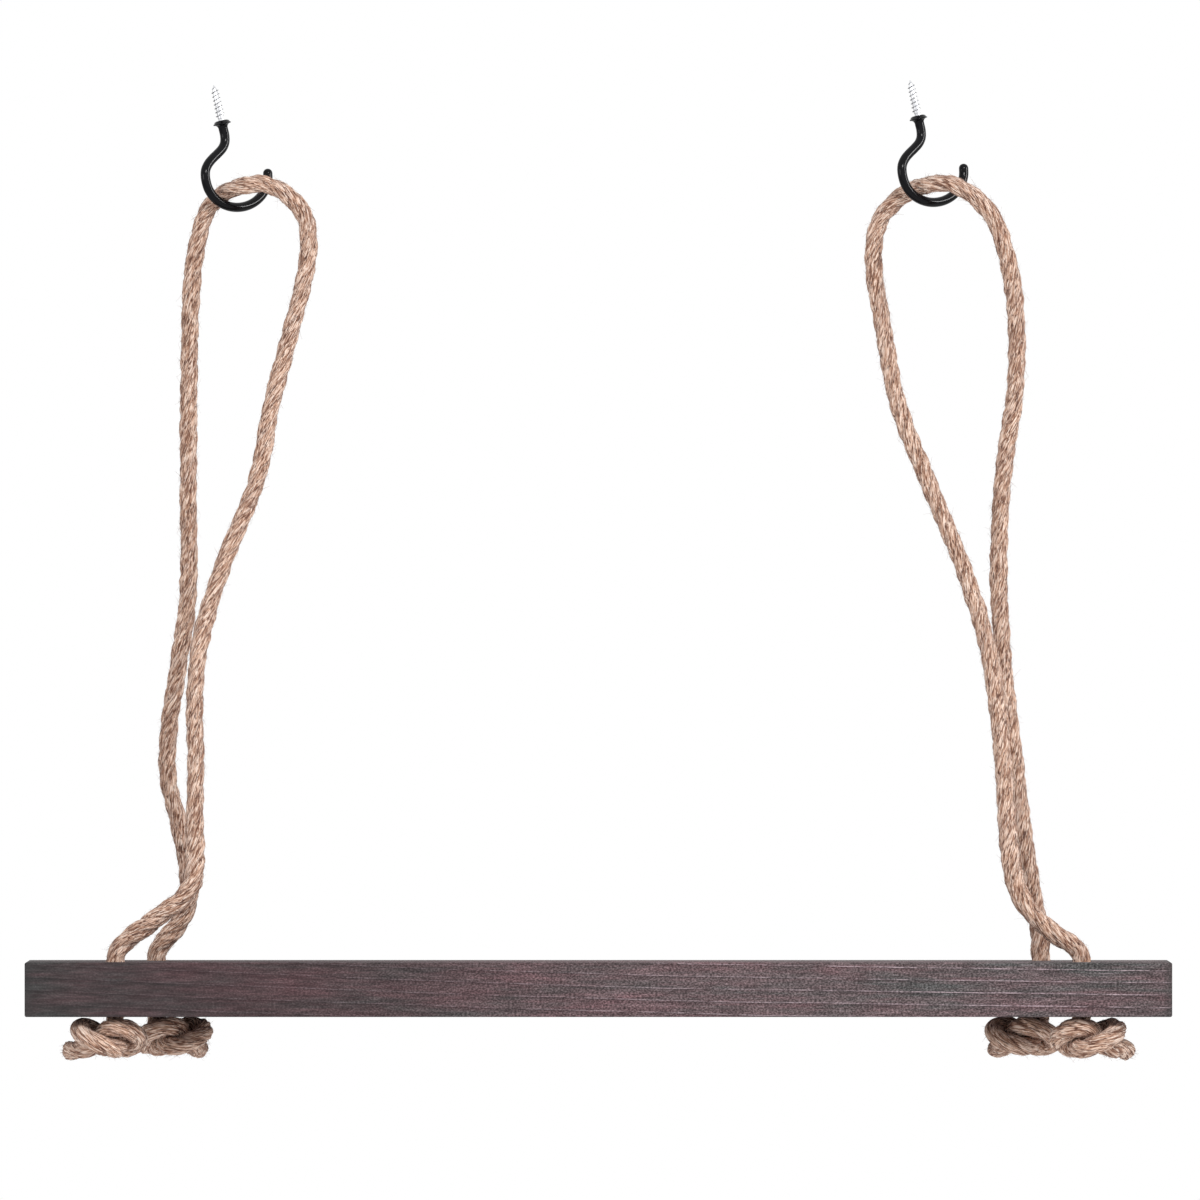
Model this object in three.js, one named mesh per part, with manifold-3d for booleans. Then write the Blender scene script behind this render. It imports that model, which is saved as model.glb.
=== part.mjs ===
// A hanging rope shelf: a stained softwood board hung on two rope slings from two black cup hooks.
// Units are millimetres. +Z is up, +X runs along the board and the front of the shelf faces -Y.
// The origin lies between the two hooks, level with the ceiling that they are screwed into.

import * as THREE from "three";
import { mergeVertices } from "three/addons/utils/BufferGeometryUtils.js";
import Module from "manifold-3d";

const wasm = await Module();
wasm.setup();

// Driving dimensions of the board
const BOARD_LENGTH = 505;
const BOARD_DEPTH = 140;
const BOARD_THICKNESS = 24;
const BOARD_EASED_EDGE = 0.8;
const BOARD_TOP_DROP = 373.5;

// The four rope holes: the back pair stands nearer to the middle than the front pair
const HOLE_CLEARANCE = 1.2;
const FRONT_HOLE_FROM_END = 39.5;
const BACK_HOLE_FROM_END = 57;
const HOLE_FROM_EDGE = 30;
const HOLE_SIDES = 24;

// The rope and the gap that keeps touching pieces apart
const ROPE_DIAMETER = 8;
const ROPE_SIDES = 8;
const ROPE_STEPS = 80;
const TOUCH_GAP = 0.3;
const SEAT_CLEARANCE = 1.2;

// The stopper knots: one turn and a half of rope laid round a ring
const KNOT_RING_RADIUS = 9.6;
const KNOT_TURN_RADIUS = 4.6;
const KNOT_BEND_RADIUS = 4.8;
const KNOT_TAIL_LENGTH = 13;
const KNOT_TAIL_DROP = 1.2;
const KNOT_STEPS = 64;
const KNOT_POINTS = 30;
const FRONT_KNOT_HEADING = -116;
const BACK_KNOT_HEADING = 84.5;

// The cup hooks: steel wire with a wood screw rolled on its end, a pressed collar and a black coat
const WIRE_DIAMETER = 2.6;
const COAT_WALL = 0.5;
const SHANK_LENGTH = 3.4;
const BOW_DROP = 22.3;
const BOW_HALF_WIDTH = 17.8;
const BOW_SET_ACROSS = 1.7;
const BOW_DEPTH = 13.6;
const BOW_TIP_TURN = -6;
const HOOK_STEPS = 44;
const HOOK_SIDES = 10;
const COLLAR_DIAMETER = 8;
const COLLAR_TOP_DIAMETER = 4.8;
const COLLAR_HEIGHT = 3.4;
const COLLAR_RIM_DROP = 1.5;
const COLLAR_RIM_THICKNESS = 0.6;
const SCREW_LENGTH = 16;
const SCREW_PLAIN_LENGTH = 0.9;
const SCREW_CORE_DIAMETER = 2.4;
const SCREW_DIAMETER = 3.4;
const SCREW_TURNS = 8;
const SCREW_POINT_LENGTH = 3.5;
const THREAD_SIDES = 4;
const THREAD_STEPS_PER_TURN = 12;

// Where the hooks hang: both lean to the left and their tips are turned to the back
const HOOK_LEAN = 12.5;
const HOOK_TURN = 40;
const LEFT_HOOK_X = -166.5;
const RIGHT_HOOK_X = 141;
const LEFT_HOOK_DROP = 2.2;
const HOOK_SET_BACK = 3.6;

// How far to the neck's side of the bow's lowest point the sling hangs
const SEAT_SET_ACROSS = 3;

// How far each sling's two strands stand apart in depth beside their hook, and how far down
const CROWN_DEPTH = 7;
const CROWN_DROP = 58;

// The shelf swings forward and back about a line through both hooks' bows
const SWING_AXIS_DROP = 37;
const SWING_LIMIT = 15;

const ropeRadius = ROPE_DIAMETER / 2;
const wireRadius = WIRE_DIAMETER / 2;
const boreRadius = wireRadius + TOUCH_GAP;
const coatRadius = boreRadius + COAT_WALL;
const boardTop = -BOARD_TOP_DROP;
const boardUnderside = boardTop - BOARD_THICKNESS;
const holeRadius = ropeRadius + HOLE_CLEARANCE;
const frontHoleX = BOARD_LENGTH / 2 - FRONT_HOLE_FROM_END;
const backHoleX = BOARD_LENGTH / 2 - BACK_HOLE_FROM_END;
const holeY = BOARD_DEPTH / 2 - HOLE_FROM_EDGE;

const stainedWood = new THREE.MeshStandardMaterial({
  color: 0x55464c,
  roughness: 0.62,
  metalness: 0,
});
const jute = new THREE.MeshStandardMaterial({
  color: 0xa8805f,
  roughness: 0.95,
  metalness: 0,
});
const blackVinyl = new THREE.MeshStandardMaterial({
  color: 0x101012,
  roughness: 0.28,
  metalness: 0,
});
const zincSteel = new THREE.MeshStandardMaterial({
  color: 0xc4c7ca,
  roughness: 0.3,
  metalness: 1,
});

// Joins and cuts
function solidOf(geometry) {
  const bare = geometry.clone();
  bare.deleteAttribute("normal");
  bare.deleteAttribute("uv");
  const merged = mergeVertices(bare);
  return new wasm.Manifold(
    new wasm.Mesh({
      numProp: 3,
      vertProperties: merged.attributes.position.array,
      triVerts: new Uint32Array(merged.index.array),
    }),
  );
}

function geometryOf(solid) {
  const mesh = solid.getMesh();
  const geometry = new THREE.BufferGeometry();
  geometry.setAttribute("position", new THREE.BufferAttribute(mesh.vertProperties, 3));
  geometry.setIndex(new THREE.BufferAttribute(mesh.triVerts, 1));
  geometry.computeVertexNormals();
  return geometry;
}

function named(name, geometry, material) {
  const mesh = new THREE.Mesh(geometry, material);
  mesh.name = name;
  return mesh;
}

// A regular section that a tube is swept from
function roundSection(radius, sides) {
  const corners = [];
  for (let i = 0; i < sides; i += 1) {
    const turn = (2 * Math.PI * i) / sides;
    corners.push(new THREE.Vector2(radius * Math.cos(turn), radius * Math.sin(turn)));
  }
  return new THREE.Shape(corners);
}

function tubeAlong(points, radius, sides, steps) {
  const extrudePath = new THREE.CatmullRomCurve3(points, false, "centripetal");
  return new THREE.ExtrudeGeometry(roundSection(radius, sides), {
    steps,
    extrudePath,
    bevelEnabled: false,
  });
}

// The board, with its eased edges and its four rope holes
function boardGeometry() {
  const halfLength = BOARD_LENGTH / 2 - BOARD_EASED_EDGE;
  const halfDepth = BOARD_DEPTH / 2 - BOARD_EASED_EDGE;
  const outline = new THREE.Shape([
    new THREE.Vector2(-halfLength, -halfDepth),
    new THREE.Vector2(halfLength, -halfDepth),
    new THREE.Vector2(halfLength, halfDepth),
    new THREE.Vector2(-halfLength, halfDepth),
  ]);
  for (const side of [-1, 1]) {
    for (const [x, y] of [
      [side * frontHoleX, -holeY],
      [side * backHoleX, holeY],
    ]) {
      const corners = [];
      for (let i = 0; i < HOLE_SIDES; i += 1) {
        const turn = (2 * Math.PI * i) / HOLE_SIDES;
        const reach = holeRadius + BOARD_EASED_EDGE;
        corners.push(new THREE.Vector2(x + reach * Math.cos(turn), y + reach * Math.sin(turn)));
      }
      outline.holes.push(new THREE.Path(corners));
    }
  }
  const geometry = new THREE.ExtrudeGeometry(outline, {
    depth: BOARD_THICKNESS - 2 * BOARD_EASED_EDGE,
    bevelEnabled: true,
    bevelThickness: BOARD_EASED_EDGE,
    bevelSize: BOARD_EASED_EDGE,
    bevelSegments: 1,
  });
  geometry.translate(0, 0, BOARD_EASED_EDGE);
  return geometry;
}

// The centreline of a hook below its collar, in the hook's own upright plane
function hookLine() {
  const points = [new THREE.Vector3(0, 0, 0), new THREE.Vector3(0, 0, -SHANK_LENGTH)];
  const neckReach = BOW_HALF_WIDTH - BOW_SET_ACROSS;
  const neckShares = [
    [0.05, 0.285],
    [0.168, 0.385],
    [0.373, 0.472],
    [0.596, 0.55],
    [0.789, 0.636],
    [0.93, 0.745],
    [0.99, 0.87],
  ];
  for (const [outShare, downShare] of neckShares) {
    points.push(new THREE.Vector3(-outShare * neckReach, 0, -downShare * BOW_DROP));
  }
  const bowPoints = 16;
  const tipTurn = THREE.MathUtils.degToRad(BOW_TIP_TURN);
  for (let i = 0; i <= bowPoints; i += 1) {
    const turn = Math.PI + ((Math.PI + tipTurn) * i) / bowPoints;
    points.push(
      new THREE.Vector3(
        BOW_SET_ACROSS + BOW_HALF_WIDTH * Math.cos(turn),
        0,
        -BOW_DROP + BOW_DEPTH * Math.sin(turn),
      ),
    );
  }
  return points;
}

// The wood screw: a tapered core and one thread wound up to its point
function screwSolid() {
  const core = SCREW_CORE_DIAMETER / 2;
  const body = SCREW_LENGTH - SCREW_POINT_LENGTH;
  const profile = [
    new THREE.Vector2(0, -COLLAR_HEIGHT),
    new THREE.Vector2(wireRadius, -COLLAR_HEIGHT),
    new THREE.Vector2(wireRadius, SCREW_PLAIN_LENGTH),
    new THREE.Vector2(core, SCREW_PLAIN_LENGTH + wireRadius - core),
    new THREE.Vector2(core, body),
    new THREE.Vector2(0, SCREW_LENGTH),
  ];
  const lathe = new THREE.LatheGeometry(profile, HOOK_SIDES);
  lathe.rotateX(Math.PI / 2);
  const windings = [];
  const steps = SCREW_TURNS * THREAD_STEPS_PER_TURN;
  const threadStart = SCREW_PLAIN_LENGTH + wireRadius;
  const threadEnd = SCREW_LENGTH - core;
  const threadHeight = SCREW_DIAMETER / 2 - core;
  for (let i = 0; i <= steps; i += 1) {
    const turn = (2 * Math.PI * i) / THREAD_STEPS_PER_TURN;
    const z = threadStart + ((threadEnd - threadStart) * i) / steps;
    const taper = Math.min(1, (SCREW_LENGTH - z) / SCREW_POINT_LENGTH);
    windings.push(
      new THREE.Vector3(core * taper * Math.cos(turn), core * taper * Math.sin(turn), z),
    );
  }
  const thread = tubeAlong(windings, threadHeight, THREAD_SIDES, steps);
  return solidOf(lathe).add(solidOf(thread));
}

function steelHookGeometry() {
  const line = hookLine();
  const inCollar = new THREE.Vector3(0, 0, COLLAR_HEIGHT / 2);
  const wire = tubeAlong([inCollar, ...line], wireRadius, HOOK_SIDES, HOOK_STEPS);
  wire.translate(0, 0, -COLLAR_HEIGHT);
  return geometryOf(screwSolid().add(solidOf(wire)));
}

// The black coat is drawn over the wire and closed with a round end past the tip
function coatGeometry() {
  const line = hookLine();
  const last = line[line.length - 1];
  const before = line[line.length - 2];
  const along = last.clone().sub(before).normalize();
  const tip = new THREE.SphereGeometry(coatRadius, HOOK_SIDES, HOOK_SIDES / 2);
  const tipCentre = last.clone().addScaledVector(along, TOUCH_GAP);
  tip.translate(tipCentre.x, tipCentre.y, tipCentre.z);
  const sheath = tubeAlong([...line, tipCentre], coatRadius, HOOK_SIDES, HOOK_STEPS);
  const mouth = line[0].clone().setZ(coatRadius);
  const bore = tubeAlong([mouth, ...line, tipCentre], boreRadius, HOOK_SIDES, HOOK_STEPS);
  return geometryOf(solidOf(sheath).add(solidOf(tip)).subtract(solidOf(bore)));
}

// The collar is a flange with a low dome and a small flat top, bored for the wire
function collarGeometry() {
  const rim = COLLAR_DIAMETER / 2;
  const top = COLLAR_TOP_DIAMETER / 2;
  const underside = -COLLAR_HEIGHT + TOUCH_GAP;
  const rimHigh = -COLLAR_RIM_DROP + COLLAR_RIM_THICKNESS / 2;
  const rimLow = -COLLAR_RIM_DROP - COLLAR_RIM_THICKNESS / 2;
  const profile = [
    new THREE.Vector2(boreRadius, underside),
    new THREE.Vector2(coatRadius, underside),
    new THREE.Vector2((coatRadius + rim) / 2, rimLow - COLLAR_RIM_THICKNESS / 2),
    new THREE.Vector2(rim, rimLow),
    new THREE.Vector2(rim, rimHigh),
    new THREE.Vector2((top + rim) / 2, rimHigh / 3),
    new THREE.Vector2(top, 0),
    new THREE.Vector2(boreRadius, 0),
    new THREE.Vector2(boreRadius, underside),
  ];
  const geometry = new THREE.LatheGeometry(profile, 2 * HOOK_SIDES);
  geometry.rotateX(Math.PI / 2);
  return geometry;
}

// One hook in the ceiling: its flat collar top is at the group's own origin
function hook(side, x, drop) {
  const turned = new THREE.Group();
  turned.rotation.z = THREE.MathUtils.degToRad(HOOK_TURN);
  turned.add(named(`hook_steel_${side}`, steelHookGeometry(), zincSteel));
  const coat = named(`hook_coat_${side}`, coatGeometry(), blackVinyl);
  coat.position.z = -COLLAR_HEIGHT;
  turned.add(coat);
  turned.add(named(`hook_collar_${side}`, collarGeometry(), blackVinyl));
  const group = new THREE.Group();
  group.position.set(x, HOOK_SET_BACK, -drop);
  group.rotation.y = THREE.MathUtils.degToRad(-HOOK_LEAN);
  group.add(turned);
  group.updateMatrixWorld(true);
  return group;
}

// The point of a hook's bow that its sling hangs on, on the wire's centreline, in the part's frame
function bowSeat(group) {
  const frame = group.children[0].matrixWorld;
  const curve = new THREE.CatmullRomCurve3(hookLine(), false, "centripetal");
  const wire = curve.getSpacedPoints(10 * HOOK_STEPS);
  for (const point of wire) {
    point.z -= COLLAR_HEIGHT;
    point.applyMatrix4(frame);
  }
  const lowest = wire.reduce((best, point) => (point.z < best.z ? point : best));
  const bow = wire.filter((point) => point.z < lowest.z + BOW_DEPTH / 2);
  const across = lowest.x - SEAT_SET_ACROSS;
  return bow.reduce((best, point) =>
    Math.abs(point.x - across) < Math.abs(best.x - across) ? point : best,
  );
}

// The slings as the front view shows them: [across, up] from a hole in the board to the hook
const LEFT_FRONT_RISE = [
  [-211.5, -368.5],
  [-207, -363.5],
  [-198.5, -357],
  [-190.5, -351],
  [-183.5, -345.5],
  [-179, -338.5],
  [-177.8, -328],
  [-178, -310],
  [-177.4, -284],
  [-178, -256],
  [-175, -230],
  [-165, -197],
  [-151, -162],
  [-143.8, -126],
  [-134.5, -91],
  [-128.2, -62],
  [-129.2, -46],
  [-134.3, -38.2],
  [-141.8, -32.4],
  [-149, -30.3],
  [-156.5, -31.1],
];
const LEFT_BACK_FALL = [
  [-168.8, -37.2],
  [-172.2, -41],
  [-174.8, -47],
  [-178.5, -64],
  [-180.3, -88],
  [-181, -126],
  [-181.3, -165],
  [-181.4, -212],
  [-185.3, -240],
  [-190, -272],
  [-190.2, -294],
  [-186, -311],
  [-182, -330],
  [-181.2, -345],
  [-185, -356],
  [-191.8, -364.5],
  [-194.9, -369],
];
const RIGHT_FRONT_RISE = [
  [211.5, -368.5],
  [206.5, -364.5],
  [199.5, -360],
  [192.5, -353.5],
  [187.2, -347],
  [183.6, -338],
  [181.2, -325],
  [179.5, -302],
  [176.7, -267],
  [171, -232],
  [160, -197],
  [145.3, -161.5],
  [132, -126.5],
  [125.4, -91],
  [121.5, -64],
  [123.6, -48],
  [129.5, -39.4],
  [137, -33.8],
];
const RIGHT_BACK_FALL = [
  [150.5, -30],
  [157, -30.8],
  [163, -33.8],
  [169, -38.6],
  [174.6, -46],
  [180.8, -64],
  [184.4, -90],
  [184, -122],
  [180, -149],
  [177.2, -180],
  [177, -212],
  [180, -252],
  [184.6, -290],
  [189.4, -328],
  [193.2, -350],
  [195.3, -364],
];

// A loop turns across the hook's bow at its crown: its left side goes to the back and its right side forward
function crownDepth(across) {
  return (CROWN_DEPTH * across) / Math.hypot(across, CROWN_DEPTH);
}

// A strand leans evenly in depth, from the side of the loop down to the hole that it ends in
function strand(places, seatX, holeDepth) {
  const low = places.filter(([, z]) => z < -CROWN_DROP);
  const side = low.reduce((best, place) => (place[1] > best[1] ? place : best));
  const sideDepth = crownDepth(seatX - side[0]);
  return places.map(([x, z]) => {
    const fall = (side[1] - z) / (side[1] - boardTop);
    const depth = fall < 0 ? crownDepth(seatX - x) : sideDepth + (holeDepth - sideDepth) * fall;
    return new THREE.Vector3(x, depth, z);
  });
}

// The straight run of a sling inside its hole, from where the knot's own rope ends up to the board's top
function holeRun(x, y) {
  const foot = boardUnderside + ROPE_DIAMETER + TOUCH_GAP;
  return [foot, (foot + boardTop) / 2, boardTop].map((z) => new THREE.Vector3(x, y, z));
}

function slingLine(side, rise, fall, hookGroup) {
  const seat = bowSeat(hookGroup);
  seat.y = 0;
  seat.z += coatRadius + ropeRadius + SEAT_CLEARANCE;
  return [
    ...holeRun(side * frontHoleX, -holeY),
    ...strand(rise, seat.x, -holeY),
    seat,
    ...strand(fall, seat.x, holeY),
    ...holeRun(side * backHoleX, holeY).reverse(),
  ];
}

// A point of the ring that the knot's rope winds round, at a turn of the ring
function ringPoint(turn) {
  const reach = KNOT_RING_RADIUS + KNOT_TURN_RADIUS * Math.cos(3 * turn);
  return new THREE.Vector3(
    reach * Math.cos(2 * turn),
    reach * Math.sin(2 * turn),
    KNOT_TURN_RADIUS * Math.sin(3 * turn),
  );
}

function ringDirection(turn) {
  const step = 0.001;
  return ringPoint(turn + step).sub(ringPoint(turn - step)).normalize();
}

// A stopper knot under a hole: straight out of the hole, a bend, the knot's turns and a short tail.
// The front knots are laid the other way round, so that their turns lie before the rope they hang on.
function knotLine(side, holeX, holeDepth, headingDegrees) {
  const first = Math.PI / 6;
  const last = (11 * Math.PI) / 6;
  const entry = ringPoint(first);
  const onward = ringDirection(first);
  const axis = entry.clone().addScaledVector(onward, -KNOT_BEND_RADIUS);
  const points = [];
  const leadTop = ROPE_DIAMETER;
  for (const z of [leadTop, leadTop / 2]) {
    points.push(new THREE.Vector3(axis.x, axis.y, entry.z + KNOT_BEND_RADIUS + z));
  }
  const bendPoints = 4;
  for (let i = 0; i < bendPoints; i += 1) {
    const bend = (Math.PI * i) / (2 * bendPoints);
    const point = axis.clone().addScaledVector(onward, KNOT_BEND_RADIUS * (1 - Math.cos(bend)));
    point.z = entry.z + KNOT_BEND_RADIUS * (1 - Math.sin(bend));
    points.push(point);
  }
  for (let i = 0; i <= KNOT_POINTS; i += 1) {
    points.push(ringPoint(first + ((last - first) * i) / KNOT_POINTS));
  }
  const leaving = ringDirection(last);
  for (const share of [0.5, 1]) {
    const point = ringPoint(last).addScaledVector(leaving, KNOT_TAIL_LENGTH * share);
    point.z -= KNOT_TAIL_DROP * share * share;
    points.push(point);
  }
  const heading = THREE.MathUtils.degToRad(headingDegrees);
  const lay = Math.sign(holeDepth);
  for (const point of points) {
    point.x -= axis.x;
    point.y -= axis.y;
    point.z -= entry.z + KNOT_BEND_RADIUS;
    point.applyAxisAngle(new THREE.Vector3(0, 0, 1), heading);
    point.set(side * (holeX - point.x), holeDepth + lay * point.y, boardUnderside + point.z);
  }
  return points;
}

// The least gap between two runs of one tube that lie further apart along it than a bend needs
function leastSelfGap(points) {
  const curve = new THREE.CatmullRomCurve3(points, false, "centripetal");
  const steps = 400;
  const places = curve.getSpacedPoints(steps);
  const apart = Math.ceil((2 * ROPE_DIAMETER * steps) / curve.getLength());
  let least = Infinity;
  for (let i = 0; i < steps; i += 1) {
    for (let j = i + apart; j <= steps; j += 1) {
      least = Math.min(least, places[i].distanceTo(places[j]) - ROPE_DIAMETER);
    }
  }
  return least;
}

// The least gap between a sling's surface and the coat of its hook, with the shelf swung forward or back
function gapToHook(points, hookGroup, swingDegrees) {
  const frame = hookGroup.children[0].matrixWorld;
  const wire = new THREE.CatmullRomCurve3(hookLine(), false, "centripetal").getSpacedPoints(200);
  const rope = new THREE.CatmullRomCurve3(points, false, "centripetal").getSpacedPoints(2000);
  const pivot = new THREE.Vector3(0, 0, -SWING_AXIS_DROP);
  const across = new THREE.Vector3(1, 0, 0);
  for (const place of rope) {
    place.sub(pivot).applyAxisAngle(across, THREE.MathUtils.degToRad(swingDegrees)).add(pivot);
  }
  let least = Infinity;
  for (const point of wire) {
    point.z -= COLLAR_HEIGHT;
    point.applyMatrix4(frame);
    for (const place of rope) {
      least = Math.min(least, place.distanceTo(point) - ropeRadius - coatRadius);
    }
  }
  return least;
}

const root = new THREE.Group();

const board = named("shelf_board", boardGeometry(), stainedWood);
board.position.z = boardUnderside;
root.add(board);

const leftHook = hook("left", LEFT_HOOK_X, LEFT_HOOK_DROP);
const rightHook = hook("right", RIGHT_HOOK_X, 0);
root.add(leftHook, rightHook);

const slings = [
  ["left", -1, LEFT_FRONT_RISE, LEFT_BACK_FALL, leftHook],
  ["right", 1, RIGHT_FRONT_RISE, RIGHT_BACK_FALL, rightHook],
];
for (const [name, side, rise, fall, hookGroup] of slings) {
  const line = slingLine(side, rise, fall, hookGroup);
  root.add(named(`rope_${name}`, tubeAlong(line, ropeRadius, ROPE_SIDES, ROPE_STEPS), jute));
  const frontKnot = knotLine(side, frontHoleX, -holeY, FRONT_KNOT_HEADING);
  const backKnot = knotLine(side, backHoleX, holeY, BACK_KNOT_HEADING);
  root.add(named(`knot_${name}_front`, tubeAlong(frontKnot, ropeRadius, ROPE_SIDES, KNOT_STEPS), jute));
  root.add(named(`knot_${name}_back`, tubeAlong(backKnot, ropeRadius, ROPE_SIDES, KNOT_STEPS), jute));
  const seat = line[holeRun(0, 0).length + rise.length];
  console.log(`${name} sling: crown over the hook at ${seat.toArray().map((v) => v.toFixed(2))}`);
  for (const swing of [-SWING_LIMIT, 0, SWING_LIMIT]) {
    const gap = gapToHook(line, hookGroup, swing).toFixed(2);
    console.log(`${name} sling: least gap to its hook ${gap} mm at ${swing} degrees`);
  }
  console.log(`${name} front knot: least gap to itself ${leastSelfGap(frontKnot).toFixed(2)} mm`);
  console.log(`${name} back knot: least gap to itself ${leastSelfGap(backKnot).toFixed(2)} mm`);
}

export default root;
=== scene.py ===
"""A hanging rope shelf: a stained board on two rope slings, hung from two coated cup hooks.

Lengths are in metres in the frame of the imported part: +X runs along the board to the right,
+Y to the back and +Z up, with the origin between the hooks at their collars. The angles that
are named here are in degrees.
"""

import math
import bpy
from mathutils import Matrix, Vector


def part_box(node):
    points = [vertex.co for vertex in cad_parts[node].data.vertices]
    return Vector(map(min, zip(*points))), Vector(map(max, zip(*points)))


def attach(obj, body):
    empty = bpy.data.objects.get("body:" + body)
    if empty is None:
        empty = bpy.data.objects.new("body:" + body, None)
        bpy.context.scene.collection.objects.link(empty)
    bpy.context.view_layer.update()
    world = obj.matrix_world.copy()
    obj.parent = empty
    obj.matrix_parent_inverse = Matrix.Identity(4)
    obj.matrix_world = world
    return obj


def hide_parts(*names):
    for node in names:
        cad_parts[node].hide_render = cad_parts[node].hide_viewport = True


bl_info = {
    "name": "Hanging Rope Shelf",
    "version": (1, 0, 0),
    "blender": (4, 5, 0),
    "location": "3D View > Sidebar > Rope Shelf",
    "description": "Dresses the packed rope shelf with its rope, hooks, board and studio",
    "category": "Add Mesh",
}

import bpy
import numpy as np
from bpy.props import FloatProperty, FloatVectorProperty, IntProperty, PointerProperty
from mathutils import Matrix, Vector

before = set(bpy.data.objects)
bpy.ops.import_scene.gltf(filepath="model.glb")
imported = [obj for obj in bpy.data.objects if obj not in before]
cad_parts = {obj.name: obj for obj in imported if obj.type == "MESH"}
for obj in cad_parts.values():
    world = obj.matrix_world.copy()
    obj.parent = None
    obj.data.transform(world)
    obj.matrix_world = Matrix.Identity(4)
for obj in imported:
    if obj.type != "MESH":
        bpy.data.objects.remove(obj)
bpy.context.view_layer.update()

BOARD_LOW, BOARD_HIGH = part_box("shelf_board")
BOARD_SIZE = BOARD_HIGH - BOARD_LOW
BOARD_MIDDLE = (BOARD_LOW + BOARD_HIGH) / 2
BOARD_TOP = BOARD_HIGH.z
BOARD_UNDERSIDE = BOARD_LOW.z

# The four rope holes: the back pair stands nearer to the middle than the front pair
FRONT_HOLE_X = 0.213
BACK_HOLE_X = 0.1955
HOLE_Y = 0.04

# The cup hooks, as they stand in the frame
HOOK_LEAN = -12.5
HOOK_TURN = 40
HOOK_SET_BACK = 0.0036
HOOK_PLACES = {
    "left": Vector((-0.1665, HOOK_SET_BACK, -0.0022)),
    "right": Vector((0.141, HOOK_SET_BACK, 0)),
}
SHANK_LENGTH = 0.0034
BOW_DROP = 0.0223
BOW_HALF_WIDTH = 0.0178
BOW_SET_ACROSS = 0.0017
BOW_DEPTH = 0.0136
BOW_TIP_TURN = -6
BOW_POINTS = 16
NECK_SHARES = (
    (0.05, 0.285), (0.168, 0.385), (0.373, 0.472), (0.596, 0.55),
    (0.789, 0.636), (0.93, 0.745), (0.99, 0.87),
)
COLLAR_TOP_RADIUS = 0.0024
RIM_DROP = 0.0015
RIM_THICKNESS = 0.0006
TOUCH_GAP = 0.0003
SEAT_CLEARANCE = 0.0012
SEAT_SET_ACROSS = 0.003

# The stopper knots
KNOT_RING_RADIUS = 0.0096
KNOT_TURN_RADIUS = 0.0046
KNOT_BEND_RADIUS = 0.0048
KNOT_TAIL_LENGTH = 0.013
KNOT_TAIL_DROP = 0.0012
KNOT_POINTS = 30
KNOT_BEND_POINTS = 4
FRONT_KNOT_HEADING = -116
BACK_KNOT_HEADING = 84.5

# How far in depth each limb of a sling stands off beside its hook, and how far down that holds
CROWN_DEPTH = 0.007
CROWN_DROP = 0.058

# The rope's lay is open up to this height over the board, and closes in this length above it
OPEN_LAY_HEIGHT = 0.03
CLOSING_LENGTH = 0.05

# The mesh of a rope: the distance between its rings, the corners round each strand, and as
# shares of its radius the roughness of its surface and the width of its cut ends
RING_SPACING = 0.0007
STRAND_CORNERS = 15
SURFACE_ROUGHNESS = 0.014
CUT_END_WIDTH = 0.9

# What drifts along a rope: the distance in which it changes, and how far it goes
LAY_DRIFT = (0.03, 0.35)
THICKNESS_DRIFT = (0.014, 0.025)
STRAND_DRIFT = (0.009, 0.06)
BUNDLE_DRIFT = (0.005, 0.06)

# The loose hairs. A pair is the least and the most that a hair draws, a root is a share of the
# rope's radius, and lifts and slants are the slopes that it leaves the rope at
HAIR_SEGMENTS = 2
HAIR_ROOT = 0.86
FLAT_SHARE = 0.85
FLAT_LIFT = (0.12, 0.4)
STEEP_LIFT = (0.4, 1.1)
HAIR_SLANT = (-0.5, 0.5)
HAIR_LENGTH = (0.0012, 0.0042)
HAIR_RADIUS = (0.00004, 0.00009)
HAIR_CURL = 0.2
HAIR_TAPER = 0.7
TUFT_HAIRS = 90
TUFT_ROOT = (0.2, 0.9)
TUFT_LIFT = (0, 0.35)
TUFT_SLANT = (-0.25, 0.25)
TUFT_LENGTH = (0.001, 0.0034)

# The growth rings: their heart's place, their fall along the board and how far they wander
HEART_BACK = 0.05
HEART_DROP = 0.5125
RING_FALL = 0.0275
RING_LEVELLING = 0.04
RING_WANDER = 0.0022

# The slings as the front view shows them: (across, up) from a hole in the board to the hook
LEFT_FRONT_RISE = (
    (-0.2115, -0.3685), (-0.207, -0.3635), (-0.1985, -0.357), (-0.1905, -0.351),
    (-0.1835, -0.3455), (-0.179, -0.3385), (-0.1778, -0.328), (-0.178, -0.31),
    (-0.1774, -0.284), (-0.178, -0.256), (-0.175, -0.23), (-0.165, -0.197),
    (-0.151, -0.162), (-0.1438, -0.126), (-0.1345, -0.091), (-0.1282, -0.062),
    (-0.1292, -0.046), (-0.1343, -0.0382), (-0.1418, -0.0324), (-0.149, -0.0303),
    (-0.1565, -0.0311),
)
LEFT_BACK_FALL = (
    (-0.1688, -0.0372), (-0.1722, -0.041), (-0.1748, -0.047), (-0.1785, -0.064),
    (-0.1803, -0.088), (-0.181, -0.126), (-0.1813, -0.165), (-0.1814, -0.212),
    (-0.1853, -0.24), (-0.19, -0.272), (-0.1902, -0.294), (-0.186, -0.311),
    (-0.182, -0.33), (-0.1812, -0.345), (-0.185, -0.356), (-0.1918, -0.3645),
    (-0.1949, -0.369),
)
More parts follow.
